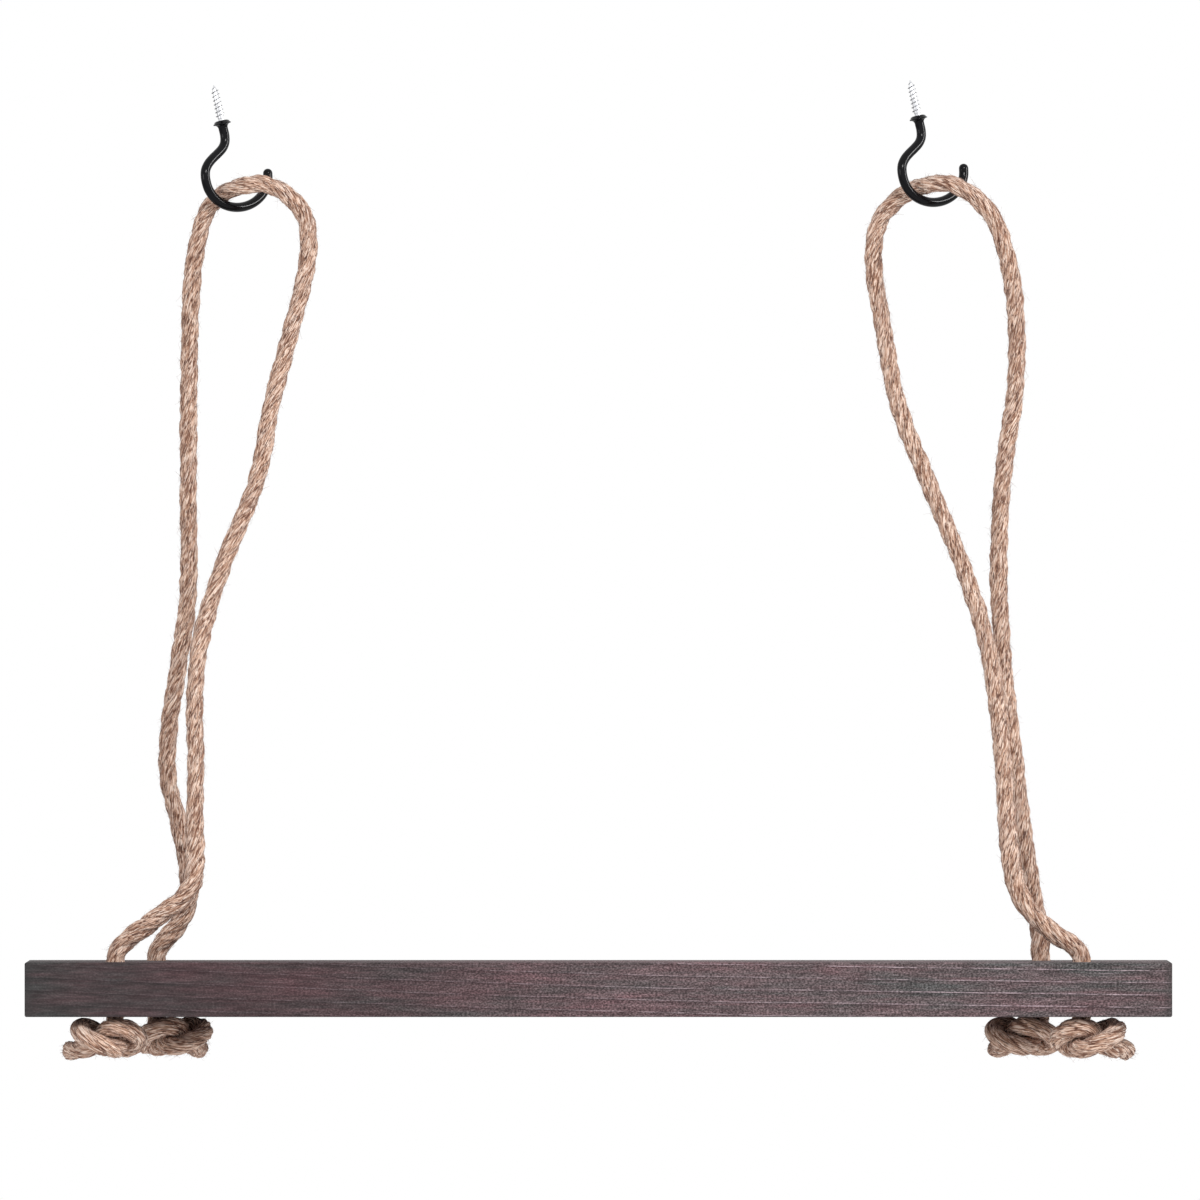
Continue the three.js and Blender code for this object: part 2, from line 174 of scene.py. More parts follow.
RIGHT_FRONT_RISE = (
    (0.2115, -0.3685), (0.2065, -0.3645), (0.1995, -0.36), (0.1925, -0.3535),
    (0.1872, -0.347), (0.1836, -0.338), (0.1812, -0.325), (0.1795, -0.302),
    (0.1767, -0.267), (0.171, -0.232), (0.16, -0.197), (0.1453, -0.1615),
    (0.132, -0.1265), (0.1254, -0.091), (0.1215, -0.064), (0.1236, -0.048),
    (0.1295, -0.0394), (0.137, -0.0338),
)
RIGHT_BACK_FALL = (
    (0.1505, -0.03), (0.157, -0.0308), (0.163, -0.0338), (0.169, -0.0386),
    (0.1746, -0.046), (0.1808, -0.064), (0.1844, -0.09), (0.184, -0.122),
    (0.18, -0.149), (0.1772, -0.18), (0.177, -0.212), (0.18, -0.252),
    (0.1846, -0.29), (0.1894, -0.328), (0.1932, -0.35), (0.1953, -0.364),
)
SLINGS = {
    "left": (-1, LEFT_FRONT_RISE, LEFT_BACK_FALL),
    "right": (1, RIGHT_FRONT_RISE, RIGHT_BACK_FALL),
}
ROPE_SEEDS = {"left": 11, "right": 23}

# The photograph's view: what the frame's middle looks at, and the width of the frame there
VIEW_MIDDLE = Vector((0.0007, -0.07, -0.214))
VIEW_WIDTH = 0.528
VIEW_DISTANCE = 20
SENSOR_WIDTH = 36

# Each lamp's name, place, width, height and setting
LAMPS = (
    ("key_lamp", (0.9, -2.8, 1.5), 1.2, 0.5, "key_power"),
    ("side_lamp", (2.9, -0.55, 0.7), 0.5, 0.6, "side_power"),
    ("fill_lamp", (-2.6, -2.0, 0.3), 0.9, 0.9, "fill_power"),
)


def linear(red, green, blue):
    """A colour given as 0 to 255 on screen, in the linear values that Blender's colours hold."""
    shares = (red / 255, green / 255, blue / 255)
    return tuple(s / 12.92 if s <= 0.04045 else ((s + 0.055) / 1.055) ** 2.4 for s in shares)


# Settings


def setting(name, description, default, unit="LENGTH"):
    return FloatProperty(name=name, description=description, default=default, unit=unit)


def colour_setting(name, description, red, green, blue):
    default = linear(red, green, blue)
    return FloatVectorProperty(name=name, description=description, default=default, subtype="COLOR")


class BoardSettings(bpy.types.PropertyGroup):
    edge_radius: setting(
        "Edge Radius", "Radius on the board's edges and the rims of its holes", 0.0008
    )
    hole_radius: setting("Hole Radius", "Radius of the four rope holes", 0.0052)
    growth_ring: setting("Growth Ring", "Width of one year's growth in the wood", 0.0040)
    charcoal: colour_setting("Charcoal", "Stain where it took deepest", 62, 61, 61)
    plum: colour_setting("Plum", "Stain over the reddish early wood", 92, 66, 70)
    worn_line: colour_setting("Worn Line", "Hard late wood that took little stain", 190, 170, 177)


class RopeSettings(bpy.types.PropertyGroup):
    diameter: setting("Diameter", "Diameter over the rope's three strands", 0.008)
    slack_diameter: setting("Slack Diameter", "Diameter at the knots, where the lay opens", 0.0087)
    lay_length: setting("Lay Length", "Length in which a strand goes once round", 0.03)
    hairs: IntProperty(name="Hairs", description="Loose fibres on one sling", default=6000)
    fibre: colour_setting("Fibre", "Colour of most of the fibres", 213, 177, 155)
    pale_fibre: colour_setting("Pale Fibre", "Colour of the palest fibres", 248, 226, 211)
    # This colour is both the darkest fibres and the painted shade in the gaps between the strands
    dark_fibre_and_gap_shade: colour_setting(
        "Dark Fibre", "Colour of bark and of gaps between strands", 112, 76, 60
    )


class HookSettings(bpy.types.PropertyGroup):
    wire_radius: setting("Wire Radius", "Radius of the bare steel wire", 0.0013)
    coat_wall: setting("Coat Wall", "Thickness of the vinyl coat", 0.0005)
    collar_radius: setting("Collar Radius", "Radius of the collar's rim", 0.004)
    collar_height: setting("Collar Height", "Height of the collar", 0.0034)
    screw_length: setting("Screw Length", "Length of the wood screw above the collar", 0.016)
    screw_turns: IntProperty(name="Screw Turns", description="Turns of its thread", default=8)
    coat: colour_setting("Coat", "Colour of the vinyl coat", 13, 13, 15)
    zinc: colour_setting("Zinc", "Colour of the zinc plate on the screws", 236, 237, 240)
    # This dark colour is painted shade on the flanks of the thread
    thread_flank_shade: colour_setting("Thread Flank", "Colour of the flanks of the thread", 34, 35, 38)


class StageSettings(bpy.types.PropertyGroup):
    floor_drop: setting("Floor Drop", "How far the floor lies under the hooks' collars", 1.3)
    floor_width: setting("Floor Width", "Width of the floor", 14)
    room_light: setting("Room Light", "Strength of the even light from all round", 0.62, "NONE")
    key_power: setting("Key Power", "Power of the soft lamp over the camera", 50, "POWER")
    side_power: setting("Side Power", "Power of the lamp at the right", 26, "POWER")
    fill_power: setting("Fill Power", "Power of the soft lamp at the left", 16, "POWER")
    floor_colour: FloatVectorProperty(
        name="Floor",
        description="Colour of the floor",
        default=(0.84, 0.84, 0.84),
        subtype="COLOR",
    )


# Helpers


def lay_tools_down():
    """Leaves edit mode with nothing selected."""
    if bpy.context.mode != "OBJECT":
        leave_edit()
    bpy.ops.object.select_all(action="DESELECT")


def take_up(*pieces):
    """Selects only these pieces, the last of them active."""
    lay_tools_down()
    for piece in pieces:
        piece.select_set(True)
    bpy.context.view_layer.objects.active = pieces[-1]


def named_piece(piece, name):
    piece.name = name
    piece.data.name = name
    return piece


def finish_with(piece, kind, **values):
    """Puts one modifier on a piece and applies it."""
    take_up(piece)
    modifier = piece.modifiers.new(kind.title(), kind)
    for key, value in values.items():
        setattr(modifier, key, value)
    bpy.ops.object.modifier_apply(modifier=modifier.name)


def edit_all():
    """Opens the active piece in edit mode with the whole of it selected."""
    bpy.ops.object.mode_set(mode="EDIT")
    bpy.ops.mesh.select_all(action="SELECT")


def leave_edit():
    bpy.ops.object.mode_set(mode="OBJECT")


def extrude_face(step, turn, axis, size, middle):
    """Extrudes the selected face by a step, then turns and resizes it about its new middle."""
    bpy.ops.mesh.extrude_region_move(TRANSFORM_OT_translate={"value": step})
    if turn:
        bpy.ops.transform.rotate(value=turn, orient_axis=axis, center_override=middle)
    if size != 1:
        bpy.ops.transform.resize(value=(size, size, size), center_override=middle)


def turn_faces_out(piece):
    take_up(piece)
    edit_all()
    bpy.ops.mesh.normals_make_consistent(inside=False)
    leave_edit()


def copy_of(piece, name):
    """A copy with a mesh of its own."""
    take_up(piece)
    bpy.ops.object.duplicate(linked=False)
    return named_piece(bpy.context.object, name)


def set_in_place(piece, place):
    """Moves a piece and applies its place, so that its object stays at the origin."""
    piece.matrix_world = place
    take_up(piece)
    bpy.ops.object.transform_apply(location=True, rotation=True, scale=True)


def smooth_by_angle(piece, degrees):
    take_up(piece)
    bpy.ops.object.shade_smooth_by_angle(angle=math.radians(degrees))


def mesh_piece(name, points, faces):
    mesh = bpy.data.meshes.new(name)
    mesh.from_pydata(points, [], faces)
    mesh.update()
    piece = bpy.data.objects.new(name, mesh)
    bpy.context.scene.collection.objects.link(piece)
    return piece


def smooth_route(points, steps):
    """Points on a centripetal Catmull-Rom curve through the given ones, some for each span."""
    given = np.array([tuple(p) for p in points])
    ends = (2 * given[0] - given[1], 2 * given[-1] - given[-2])
    held = np.vstack([ends[0], given, ends[1]])
    shares = np.arange(steps)[:, None] / steps
    route = []
    for i in range(1, len(held) - 2):
        a, b, c, d = held[i - 1 : i + 3]
        before, span, after = (math.sqrt(np.linalg.norm(gap)) for gap in (b - a, c - b, d - c))
        leaving = ((b - a) / before - (c - a) / (before + span) + (c - b) / span) * span
        arriving = ((c - b) / span - (d - b) / (span + after) + (d - c) / after) * span
        bend = 3 * (c - b) - 2 * leaving - arriving
        twist = 2 * (b - c) + leaving + arriving
        route.append(b + shares * leaving + shares**2 * bend + shares**3 * twist)
    return np.vstack([*route, given[-1:]])


def tube_faces(first, rings, sides):
    """Faces between the rings of a tube, and one over each of its ends."""
    faces = []
    for i in range(rings - 1):
        low = first + i * sides
        for k in range(sides):
            after = (k + 1) % sides
            faces.append((low + k, low + after, low + sides + after, low + sides + k))
    last = first + (rings - 1) * sides
    caps = (range(first + sides - 1, first - 1, -1), range(last, last + sides))
    return faces + [tuple(cap) for cap in caps]


def distances_along(route):
    steps = np.linalg.norm(np.diff(route, axis=0), axis=1)
    return np.concatenate([[0], np.cumsum(steps)])


def evenly_spaced(route, spacing):
    """The same route with points that lie evenly along it."""
    along = distances_along(route)
    places = np.linspace(0, along[-1], round(along[-1] / spacing) + 1)
    return np.stack([np.interp(places, along, route[:, k]) for k in range(3)], axis=1)


# Materials


def node(tree, kind, inputs=None, **settings):
    """Adds a shader node, sets its options, and fills its inputs with values or links."""
    made = tree.nodes.new("ShaderNode" + kind)
    for key, value in settings.items():
        setattr(made, key, value)
    for key, value in (inputs or {}).items():
        if isinstance(value, bpy.types.NodeSocket):
            tree.links.new(value, made.inputs[key])
        else:
            made.inputs[key].default_value = value
    return made


def calc(tree, operation, first, second=0.0, third=0.0):
    values = {0: first, 1: second, 2: third}
    return node(tree, "Math", values, operation=operation).outputs[0]


def opaque(colour):
    return colour if isinstance(colour, bpy.types.NodeSocket) else (*colour[:3], 1)


def mixed(tree, share, under, over, way="MIX"):
    """One colour laid over another by a share."""
    values = {0: share, 6: opaque(under), 7: opaque(over)}
    return node(tree, "Mix", values, data_type="RGBA", blend_type=way).outputs[2]


def tinted(tree, colour, tint, share=1.0):
    return mixed(tree, share, colour, tint, "MULTIPLY")


def ramp(tree, value, *stops):
    """Colours or grey levels at their places between 0 and 1."""
    made = node(tree, "ValToRGB", {0: value})
    elements = made.color_ramp.elements
    while len(elements) < len(stops):
        elements.new(0.5)
    for element, (place, colour) in zip(elements, stops):
        element.position = place
        shade = (colour,) * 3 if isinstance(colour, (int, float)) else colour[:3]
        element.color = (*shade, 1)
    return made.outputs[0]


def noise(tree, where, scale, detail=3.0, roughness=0.55, warp=0.0):
    values = {"Vector": where, "Scale": scale, "Detail": detail, "Roughness": roughness}
    values["Distortion"] = warp
    return node(tree, "TexNoise", values).outputs["Fac"]


def drawn_noise(tree, where, scales, detail=3.0, roughness=0.55, warp=0.0):
    """Noise with a scale for each axis, drawn out along the axis of the smallest."""
    scaled = node(tree, "Mapping", {"Vector": where, "Scale": scales}).outputs[0]
    return noise(tree, scaled, 1, detail, roughness, warp)


def bumped(tree, height, strength, distance):
    values = {"Height": height, "Strength": strength, "Distance": distance}
    return node(tree, "Bump", values).outputs[0]


def object_place(tree):
    return node(tree, "TexCoord").outputs["Object"]


def map_place(tree, name):
    """A place on one of the piece's UV maps."""
    return node(tree, "UVMap", uv_map=name).outputs[0]


def parts_of(tree, vector):
    return node(tree, "SeparateXYZ", {0: vector}).outputs


def new_finish(name, **values):
    """A material with its shader's plain values set on their own sockets."""
    material = bpy.data.materials.new(name)
    material.use_nodes = True
    tree = material.node_tree
    shader = tree.nodes["Principled BSDF"]
    for key, value in values.items():
        shader.inputs[key.replace("_", " ")].default_value = value
    return material, tree, shader


def feed(tree, shader, **outputs):
    """Links each output to the shader's socket of that name."""
    for key, output in outputs.items():
        tree.links.new(output, shader.inputs[key.replace("_", " ")])


def stained_softwood(board):
    """Growth rings round a heart far under the board, worn lines, blotchy stain and pores."""
    material, tree, shader = new_finish("stained_softwood", Specular_IOR_Level=0.06)
    where = object_place(tree)
    split = parts_of(tree, where)

    # The rings fall to the right along the board, and level out towards its right end
    fall = calc(tree, "MULTIPLY_ADD", split["X"], -RING_LEVELLING, RING_FALL)
    tilt = calc(tree, "MULTIPLY", split["X"], fall)
    wander = drawn_noise(tree, where, (9, 30, 30), 2)
    wave = calc(tree, "MULTIPLY_ADD", wander, RING_WANDER, -RING_WANDER / 2)
    height = calc(tree, "ADD", calc(tree, "ADD", split["Z"], tilt), wave)
    back = calc(tree, "SUBTRACT", split["Y"], HEART_BACK)
    up = calc(tree, "ADD", height, HEART_DROP)
    from_heart = node(tree, "CombineXYZ", {1: back, 2: up}).outputs[0]
    reach = node(tree, "VectorMath", {0: from_heart}, operation="LENGTH").outputs["Value"]
    year = calc(tree, "FRACT", calc(tree, "DIVIDE", reach, board.growth_ring))

    # The stain is redder in blotches and streaks, and least so at both ends
    to_the_right = calc(tree, "MULTIPLY_ADD", split["X"], 1 / BOARD_SIZE.x, 0.5)
    blotch = drawn_noise(tree, where, (16, 60, 90), 4, 0.6, 0.4)
    streak = drawn_noise(tree, where, (30, 800, 800), 4, 0.65)
    redness = ramp(tree, to_the_right, (0.0, 0.12), (0.14, 0.42), (0.5, 0.42), (1.0, 0.22))
    for pattern, amount in ((blotch, 1.6), (streak, 0.8)):
        change = calc(tree, "MULTIPLY_ADD", pattern, amount, -amount / 2)
        redness = calc(tree, "ADD", redness, change)
    stain = mixed(tree, redness, board.charcoal, board.plum)

    # The whole board grows paler to the right: partly the stain's own change, partly a painted pool
    # of light from the right
    lightness = 2.42
    stain_and_painted_light = ramp(
        tree,
        to_the_right,
        *((0.0, 0.45), (0.15, 0.43), (0.28, 0.46), (0.4, 0.6)),
        *((0.52, 0.73), (0.7, 0.77), (0.86, 0.76), (1.0, 0.68)),
    )
    stain_and_painted_light = calc(tree, "MULTIPLY", stain_and_painted_light, lightness)
    stain = tinted(tree, stain, stain_and_painted_light)

    # A dark band under each ring and a thin worn line on it, broken into dashes
    band = ramp(tree, year, (0.0, 0.72), (0.1, 0.98), (0.62, 1.04), (0.94, 0.84), (1.0, 0.72))
    stain = tinted(tree, stain, band)
    line = ramp(tree, year, (0.0, 0.2), (0.02, 1.0), (0.07, 0.9), (0.11, 0.0))
    breaks = drawn_noise(tree, where, (80, 700, 700), 5, 0.8)
    dashes = ramp(tree, breaks, (0.42, 0.0), (0.56, 1.0))
    shown = ramp(tree, to_the_right, (0.05, 0.06), (0.35, 0.25), (0.6, 0.6), (0.85, 0.95))
    worn = calc(tree, "MULTIPLY", calc(tree, "MULTIPLY", line, dashes), shown)

    # Fine grain: pale scratches of bare fibre and dark pores
    pores = drawn_noise(tree, where, (110, 950, 950), 3, 0.65)
    grain = ramp(tree, pores, (0.3, 0.66), (0.5, 0.97), (0.7, 1.38))
    stain = tinted(tree, stain, grain)
    specks = drawn_noise(tree, where, (1000, 1500, 1500), 2, 0.6)
    specked = ramp(tree, to_the_right, (0.1, 0.3), (0.45, 0.95), (0.8, 1.0))
    speck_tone = ramp(tree, specks, (0.36, 0.45), (0.5, 0.92), (0.64, 1.9))
    stain = tinted(tree, stain, speck_tone, specked)
    worn = calc(tree, "MULTIPLY", worn, ramp(tree, specks, (0.38, 0.4), (0.52, 1.0)))
    nicks = drawn_noise(tree, where, (60, 1500, 1500), 2, 0.5)
    scratches = ramp(tree, nicks, (0.62, 0.0), (0.78, 0.5))
    worn = calc(tree, "MAXIMUM", worn, calc(tree, "MULTIPLY", scratches, shown))
    stain = mixed(tree, worn, stain, board.worn_line)

    # The stain gathers on the sawn ends
    end_band = 0.006
    from_end = calc(tree, "SUBTRACT", BOARD_HIGH.x, calc(tree, "ABSOLUTE", split["X"]))
    end_share = ramp(tree, calc(tree, "DIVIDE", from_end, end_band), (0.1, 0.6), (0.75, 0.0))
    stain = mixed(tree, end_share, stain, board.charcoal)
    roughness = ramp(tree, streak, (0.3, 0.5), (0.7, 0.72))
    relief = calc(tree, "MULTIPLY_ADD", line, 0.6, calc(tree, "MULTIPLY", pores, 0.7))
    normal = bumped(tree, relief, 0.45, 0.0003)
    feed(tree, shader, Base_Color=stain, Roughness=roughness, Normal=normal)
    return material


def laid_jute(rope):
    """Fibres drawn out along each strand, dark dashes between them, and painted shade in the uneven
    gaps between strands.
    """
    look = {"Roughness": 0.92, "Specular_IOR_Level": 0.12, "Sheen_Weight": 0.2}
    look |= {"Sheen_Roughness": 0.6, "Sheen_Tint": (0.8, 0.76, 0.76, 1)}
    material, tree, shader = new_finish("laid_jute", **look)
    split = parts_of(tree, map_place(tree, "lay"))
    strand = calc(tree, "FLOOR", split["X"])
    across = calc(tree, "FRACT", split["X"])
    from_crest = calc(tree, "ABSOLUTE", calc(tree, "MULTIPLY_ADD", across, 2.0, -1.0))

    # Where a fibre lies: round the rope, less the slope that it climbs at
    girth = math.pi * rope.diameter
    fibre_slope = math.tan(math.radians(17))
    third = calc(tree, "DIVIDE", split["X"], 3.0)
    turned = calc(tree, "MULTIPLY_ADD", split["Y"], 1 / rope.lay_length, third)
    around = calc(tree, "MULTIPLY", turned, girth)
    fibre_place = calc(tree, "MULTIPLY_ADD", split["Y"], -fibre_slope, around)
    parts = {0: fibre_place, 1: split["Y"], 2: calc(tree, "MULTIPLY", strand, 0.37)}
    fibres = node(tree, "CombineXYZ", parts).outputs[0]

    tufts = drawn_noise(tree, fibres, (1500, 190, 10), 2, 0.6, 0.6)
    fine = drawn_noise(tree, fibres, (3000, 280, 10), 2, 0.6)
    tone = calc(tree, "MULTIPLY_ADD", fine, 0.45, calc(tree, "MULTIPLY", tufts, 0.55))
    brown = (0.45, linear(162, 122, 101))
    pale = (0.59, rope.pale_fibre)
    colour = ramp(tree, tone, (0.38, rope.dark_fibre_and_gap_shade), brown, (0.51, rope.fibre), pale)
    drift = drawn_noise(tree, fibres, (120, 60, 10), 2)
    faded = (0.7, (1.08, 1.06, 1.04))
    patch = ramp(tree, drift, (0.3, (0.9, 0.88, 0.88)), (0.5, (1.0, 0.99, 0.98)), faded)
    colour = tinted(tree, colour, patch)

    # Painted shade in the gaps between the strands, broken up by fibres that cross them, and dark
    # dashes of bark
    broken = calc(tree, "MULTIPLY_ADD", tufts, -0.7, calc(tree, "ADD", from_crest, 0.33))
    gap = ramp(tree, broken, (0.8, 0.0), (1.02, 0.7))
    colour = mixed(tree, gap, colour, rope.dark_fibre_and_gap_shade)
    dashes = drawn_noise(tree, fibres, (1700, 330, 10), 1, 0.5, 0.8)
    bark = ramp(tree, dashes, (0.57, 0.0), (0.65, 0.9))
    colour = mixed(tree, bark, colour, linear(84, 50, 38))
    relief = calc(tree, "MULTIPLY_ADD", tufts, 0.8, calc(tree, "MULTIPLY", fine, 0.4))
    feed(tree, shader, Base_Color=colour, Normal=bumped(tree, relief, 1.0, 0.0006))
    return material


def loose_fibre(rope):
    """The hairs that stand off the rope: greyer than the rope itself."""
    material, tree, shader = new_finish("loose_fibre", Roughness=0.85, Specular_IOR_Level=0.12)
    patch = noise(tree, object_place(tree), 900, 2)
    dull, middling, pale = linear(118, 92, 84), linear(172, 142, 130), linear(214, 188, 178)
    feed(tree, shader, Base_Color=ramp(tree, patch, (0.35, dull), (0.5, middling), (0.68, pale)))
    return material


def black_vinyl(hooks):
    """A glossy dipped coat, faintly uneven."""
    material, tree, shader = new_finish("black_vinyl", Specular_IOR_Level=0.12)
    where = object_place(tree)
    smears = noise(tree, where, 420, 3)
    tone = mixed(tree, smears, hooks.coat, linear(19, 19, 22))
    roughness = ramp(tree, smears, (0.3, 0.06), (0.75, 0.16))
    normal = bumped(tree, noise(tree, where, 260, 1), 0.1, 0.0003)
    feed(tree, shader, Base_Color=tone, Roughness=roughness, Normal=normal)
    return material


def bright_zinc(hooks):
    """Zinc plate with fine rolling marks, and painted shade on the flanks of the thread."""
    material, tree, shader = new_finish("bright_zinc", Metallic=1.0)
    marks = drawn_noise(tree, object_place(tree), (500, 500, 5200), 2)
    out_of_core = parts_of(tree, map_place(tree, "thread"))["X"]
    out_of_flank_shade = ramp(tree, out_of_core, (0.0, 0.0), (0.9, 0.1), (0.99, 0.3), (1.0, 0.82))
    tone = mixed(tree, out_of_flank_shade, hooks.thread_flank_shade, hooks.zinc)
    roughness = ramp(tree, marks, (0.3, 0.16), (0.7, 0.38))
    normal = bumped(tree, marks, 0.15, 0.0001)
    feed(tree, shader, Base_Color=tone, Roughness=roughness, Normal=normal)
    return material


def give_finish(piece, material):
    piece.data.materials.clear()
    piece.data.materials.append(material)


# Hooks


def hook_line():
    """The middle of a hook's wire below its collar, in the hook's own upright plane."""
    points = [Vector((0, 0, 0)), Vector((0, 0, -SHANK_LENGTH))]
    neck_reach = BOW_HALF_WIDTH - BOW_SET_ACROSS
    for out_share, down_share in NECK_SHARES:
        points.append(Vector((-out_share * neck_reach, 0, -down_share * BOW_DROP)))
    for i in range(BOW_POINTS + 1):
        turn = math.pi + (math.pi + math.radians(BOW_TIP_TURN)) * i / BOW_POINTS
        across = BOW_SET_ACROSS + BOW_HALF_WIDTH * math.cos(turn)
        points.append(Vector((across, 0, -BOW_DROP + BOW_DEPTH * math.sin(turn))))
    return points


def hook_place(side):
    """Where a hook's collar top stands, and how the hook leans and turns."""
    lean = Matrix.Rotation(math.radians(HOOK_LEAN), 4, "Y")
    turn = Matrix.Rotation(math.radians(HOOK_TURN), 4, "Z")
    return Matrix.Translation(HOOK_PLACES[side]) @ lean @ turn


def bow_seat(side, collar_height):
    """The point on the middle of a hook's bow that its sling hangs on, in the frame."""
    place = hook_place(side)
    below_collar = Vector((0, 0, -collar_height))
    wire = [place @ (Vector(p) + below_collar) for p in smooth_route(hook_line(), steps=20)]
    lowest = min(wire, key=lambda point: point.z)
    bow = [point for point in wire if point.z < lowest.z + BOW_DEPTH / 2]
    return min(bow, key=lambda point: abs(point.x - lowest.x + SEAT_SET_ACROSS))


def filled_circle(name, radius, sides):
    lay_tools_down()
    bpy.ops.mesh.primitive_circle_add(vertices=sides, radius=radius, fill_type="NGON")
    return named_piece(bpy.context.object, name)


def sweep_disc(name, stations, sides):
    """Carries a round face through (middle, turn about Y, radius) stations into a closed solid."""
    middle, _, radius = stations[0]
    solid = filled_circle(name, radius, sides)
    edit_all()
    bpy.ops.transform.translate(value=middle)
    for (old_middle, old_turn, old_radius), (middle, turn, radius) in zip(stations, stations[1:]):
        extrude_face(middle - old_middle, old_turn - turn, "Y", radius / old_radius, middle)
    leave_edit()
    turn_faces_out(solid)
    return solid


def turned_solid(name, profile, sides):
    """A solid of revolution about Z from (height, radius) pairs."""
    stations = [(Vector((0, 0, height)), 0, radius) for height, radius in profile]
    return sweep_disc(name, stations, sides)


def wire_stations(route, radius, tip_steps):
    """Stations along a wire in the XZ plane that ends in a round tip."""
    ahead = np.gradient(route, axis=0)
    turns = np.unwrap(np.arctan2(-ahead[:, 0], -ahead[:, 2]))
    stations = [(Vector(p), turn, radius) for p, turn in zip(route, turns)]
    onward = Vector(ahead[-1]).normalized()
    for i in range(1, tip_steps + 1):
        angle = math.pi / 2 * i / (tip_steps + 0.3)
        middle = Vector(route[-1]) + onward * radius * math.sin(angle)
        stations.append((middle, turns[-1], radius * math.cos(angle)))
    return stations


def wood_screw(hooks):
    """A tapered core with one thread wound up to its point."""
    length = hooks.screw_length
    shank = hooks.wire_radius
    plain = 0.0009
    core_low = 0.00145
    core_high = 0.00112
    point = 0.0026
    tip_radius = 0.00008
    profile = (
        (-hooks.collar_height, shank),
        (plain, shank),
        (plain + abs(shank - core_low), core_low),
        ((length - point) / 2, (core_low + core_high) / 2),
        (length - point, core_high),
        (length - point / 2, core_high * 0.6),
        (length, tip_radius),
    )
    core = turned_solid("screw_core", profile, sides=24)

    # The thread's section is a sharp ridge that reaches into the core
    ridge_reach = 0.0021
    ridge_base = 0.0009
    ridge_half = 0.00046
    ridge_taper = 0.24
    crest_half = 0.00007
    bare_tip = 0.0006
    start = plain + ridge_half
    steps_per_turn = 20
    steps = hooks.screw_turns * steps_per_turn
    rise = (length - bare_tip - start) / steps
    turn = -2 * math.pi / steps_per_turn
    thread = filled_circle("screw_thread", ridge_half, sides=4)
    upper = ((ridge_base, ridge_half), (ridge_reach, crest_half))
    lower = ((ridge_reach, -crest_half), (ridge_base, -ridge_half))
    for vertex, (out, up) in zip(thread.data.vertices, (*upper, *lower)):
        vertex.co = (out, 0, start + up)
    edit_all()
    height = start
    width = 1.0
    for i in range(1, steps + 1):
        height += rise
        wanted = min(1.0, (length - height) / point) * (1 - ridge_taper * i / steps)
        extrude_face((0, 0, rise), turn, "Z", wanted / width, Vector((0, 0, height)))
        width = wanted
    leave_edit()
    turn_faces_out(thread)
    core_corners = len(core.data.vertices)
    take_up(thread, core)
    bpy.ops.object.join()

    # Each corner of the thread keeps how far it stands out of the core, and the core keeps 1; the
    # zinc's painted shade on the thread's flanks is drawn from this
    layer = core.data.uv_layers.active or core.data.uv_layers.new(name="thread")
    layer.name = "thread"
    for loop in core.data.loops:
        spot = core.data.vertices[loop.vertex_index].co
        along = min(1.0, max(0.0, spot.z / length))
        taper = min(1.0, max(0.04, (length - spot.z) / point))
        root = (core_low + (core_high - core_low) * along) * taper
        crest = ridge_reach * (1 - ridge_taper * along) * taper
        out_of_core = (math.hypot(spot.x, spot.y) - root) / (crest - root)
        if loop.vertex_index < core_corners:
            out_of_core = 1.0
        layer.data[loop.index].uv = (min(1.0, max(0.0, out_of_core)), along)
    return core


def steel_hook(hooks, route):
    """The screw and the wire that the coat is drawn over, as one piece of steel."""
    in_collar = np.array([[0, 0, -hooks.collar_height / 2]])
    stations = wire_stations(np.vstack([in_collar, route]), hooks.wire_radius, tip_steps=3)
    wire = sweep_disc("hook_wire", stations, sides=16)
    screw = wood_screw(hooks)
    take_up(wire, screw)
    bpy.ops.object.join()
    smooth_by_angle(screw, 40)
    return screw


def vinyl_coat(hooks, route):
    """The coat is a hollow tube, closed with a round end past the wire's tip."""
    radius = hooks.wire_radius + TOUCH_GAP + hooks.coat_wall
    in_collar = np.array([[0, 0, route[0][2] + hooks.coat_wall]])
    stations = wire_stations(np.vstack([in_collar, route]), radius, tip_steps=6)
    coat = sweep_disc("coat", stations, sides=28)
    take_up(coat)
    bpy.ops.object.mode_set(mode="EDIT")
    bpy.ops.mesh.select_mode(type="FACE")
    bpy.ops.mesh.select_all(action="DESELECT")
    leave_edit()
    mouth = max(coat.data.polygons, key=lambda face: face.normal.z + (len(face.vertices) > 4))
    mouth.select = True
    bpy.ops.object.mode_set(mode="EDIT")
    bpy.ops.mesh.delete(type="ONLY_FACE")
    leave_edit()
    finish_with(coat, "SOLIDIFY", thickness=hooks.coat_wall, offset=-1)
    smooth_by_angle(coat, 50)
    return coat


def flanged_collar(hooks):
    """A pressed collar: a small flat top, a drooping rim, and a hollow flare down to the coat."""
    top = COLLAR_TOP_RADIUS
    rim = hooks.collar_radius
    edge = RIM_THICKNESS / 2
    foot = hooks.wire_radius + TOUCH_GAP + hooks.coat_wall
    rim_high = -RIM_DROP + edge
    rim_low = -RIM_DROP - edge
    profile = [(0, top - edge), (-edge / 8, top), (rim_high / 3, (top + rim) / 2)]
    edge_steps = 6
    for i in range(edge_steps + 1):
        angle = math.pi / 2 - math.pi * i / edge_steps
        drop = -RIM_DROP + edge * math.sin(angle)
        profile.append((drop, rim - edge * (1 - math.cos(angle))))
    flare_steps = 8
    for i in range(1, flare_steps + 1):
        angle = math.pi / 2 * i / flare_steps
        out = foot + (rim - edge - foot) * (1 - math.sin(angle))
        profile.append((rim_low - (hooks.collar_height + rim_low) * (1 - math.cos(angle)), out))
    collar = turned_solid("collar", profile, sides=48)
    smooth_by_angle(collar, 45)
    return collar


